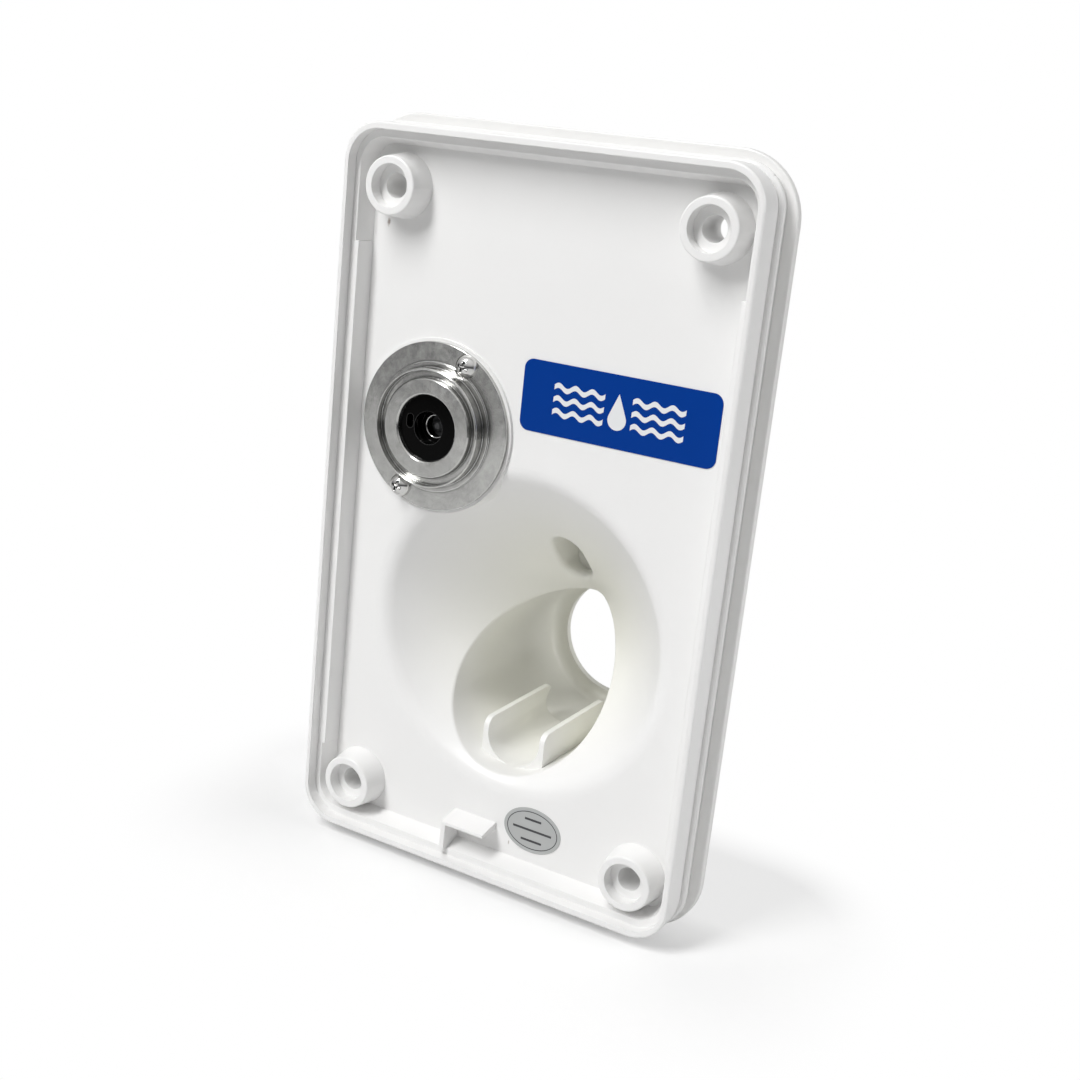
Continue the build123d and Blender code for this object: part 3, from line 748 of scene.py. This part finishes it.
# The blue label: a plastic film stuck to the tray floor at the right of the socket, printed in white
# with a drop between two fields of waves.
blue_film = moulded_material(
    "blue_film",
    light=(0.000, 0.040, 0.27),
    dark=(0.000, 0.036, 0.25),
    grain_size=900.0,
    smooth=0.28,
    rough=0.36,
    edge_radius=0.00005,
    bump_depth=0.000002,
    **{"Specular IOR Level": 0.08},
)
dress("water_label", blue_film)

film_low, film_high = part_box("water_label")
label_x, label_z = (film_low.x + film_high.x) / 2, (film_low.z + film_high.z) / 2
ink_proud = 0.00002
ink_sunk = 0.00004


def printed_shape(name, outlines, front_y, material):
    """Thin closed prints on a film, each from an outline of x and z points."""
    mesh = bpy.data.meshes.new(name)
    built = bmesh.new()
    for outline in outlines:
        count = len(outline)
        front = [built.verts.new((x, front_y - ink_proud, z)) for x, z in outline]
        back = [built.verts.new((x, front_y + ink_sunk, z)) for x, z in outline]
        built.faces.new(front)
        built.faces.new(list(reversed(back)))
        for index in range(count):
            after = (index + 1) % count
            built.faces.new((front[index], back[index], back[after], front[after]))
    bmesh.ops.recalc_face_normals(built, faces=built.faces)
    bmesh.ops.triangulate(built, faces=[face for face in built.faces if len(face.verts) > 4])
    built.to_mesh(mesh)
    built.free()
    mesh.materials.append(material)
    piece = bpy.data.objects.new(name, mesh)
    bpy.context.scene.collection.objects.link(piece)
    return piece


def wave_outline(start_x, middle_z, length, periods, rise, thick, steps=48):
    """A band of even height that rises and falls along x."""
    line = []
    for step in range(steps + 1):
        share = step / steps
        x = start_x + share * length
        line.append((x, middle_z + rise * math.sin(2 * math.pi * periods * share)))
    upper = [(x, z + thick / 2) for x, z in line]
    lower = [(x, z - thick / 2) for x, z in reversed(line)]
    return upper + lower


def drop_outline(middle_x, foot_z, radius, tall, steps=40):
    """A drop: a round foot whose two sides run up tangent to a point."""
    centre_z = foot_z + radius
    reach = foot_z + tall - centre_z
    opening = math.acos(radius / reach)
    points = [(middle_x, centre_z + reach)]
    for step in range(steps + 1):
        angle = math.pi / 2 - opening - step / steps * (2 * math.pi - 2 * opening)
        points.append((middle_x + radius * math.cos(angle), centre_z + radius * math.sin(angle)))
    return points


white_ink = moulded_material(
    "white_ink",
    light=(0.80, 0.81, 0.82),
    dark=(0.74, 0.75, 0.76),
    grain_size=2500.0,
    smooth=0.35,
    rough=0.5,
    edge_radius=0.00002,
    bump_depth=0.000002,
)
wave_length, wave_rise, wave_thick, wave_gap, wave_row = 0.0135, 0.00055, 0.00125, 0.0036, 0.0030
wave_periods = 3
label_shapes = []
for row in (-1, 0, 1):
    for start_x in (label_x - wave_gap - wave_length, label_x + wave_gap):
        row_z = label_z + row * wave_row
        label_shapes.append(wave_outline(start_x, row_z, wave_length, wave_periods, wave_rise, wave_thick))
drop_radius, drop_tall = 0.0024, 0.0086
label_shapes.append(drop_outline(label_x, label_z - drop_tall / 2, drop_radius, drop_tall))
print_piece = printed_shape("label_print", label_shapes, film_low.y, white_ink)
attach(print_piece, "socket")


# The oval label: a silver film stuck to the tray floor above the lower edge, printed in dark grey with
# a ring and three plain bars.
silver_film = moulded_material(
    "silver_film",
    light=(0.52, 0.53, 0.52),
    dark=(0.42, 0.43, 0.43),
    grain_size=1200.0,
    smooth=0.3,
    rough=0.42,
    edge_radius=0.00005,
    bump_depth=0.000002,
    Metallic=0.35,
)
dress("oval_label", silver_film)

oval_low, oval_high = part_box("oval_label")
oval_x, oval_z = (oval_low.x + oval_high.x) / 2, (oval_low.z + oval_high.z) / 2
oval_half_x, oval_half_z = (oval_high.x - oval_low.x) / 2, (oval_high.z - oval_low.z) / 2
ring_outside, ring_inside, ring_steps = 0.0009, 0.00112, 72
bar_thick = 0.0006
oval_bars = ((0.0029, 0.0024), (0.0, 0.0056), (-0.0029, 0.0030))


def oval_point(turn, inset):
    """A point on the oval that lies the inset inside the label's edge."""
    angle = 2 * math.pi * turn / ring_steps
    return (
        oval_x + (oval_half_x - inset) * math.cos(angle),
        oval_z + (oval_half_z - inset) * math.sin(angle),
    )


oval_marks = []
for step in range(ring_steps):
    oval_marks.append(
        [
            oval_point(step, ring_outside),
            oval_point(step + 1, ring_outside),
            oval_point(step + 1, ring_inside),
            oval_point(step, ring_inside),
        ]
    )
for rise, half_length in oval_bars:
    top, bottom = oval_z + rise + bar_thick / 2, oval_z + rise - bar_thick / 2
    oval_marks.append(
        [
            (oval_x - half_length, bottom),
            (oval_x + half_length, bottom),
            (oval_x + half_length, top),
            (oval_x - half_length, top),
        ]
    )
grey_ink = moulded_material(
    "grey_ink",
    light=(0.06, 0.06, 0.065),
    dark=(0.04, 0.04, 0.045),
    grain_size=2500.0,
    smooth=0.45,
    rough=0.6,
    edge_radius=0.00002,
    bump_depth=0.000002,
)
oval_print = printed_shape("oval_print", oval_marks, oval_low.y, grey_ink)
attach(oval_print, "socket")
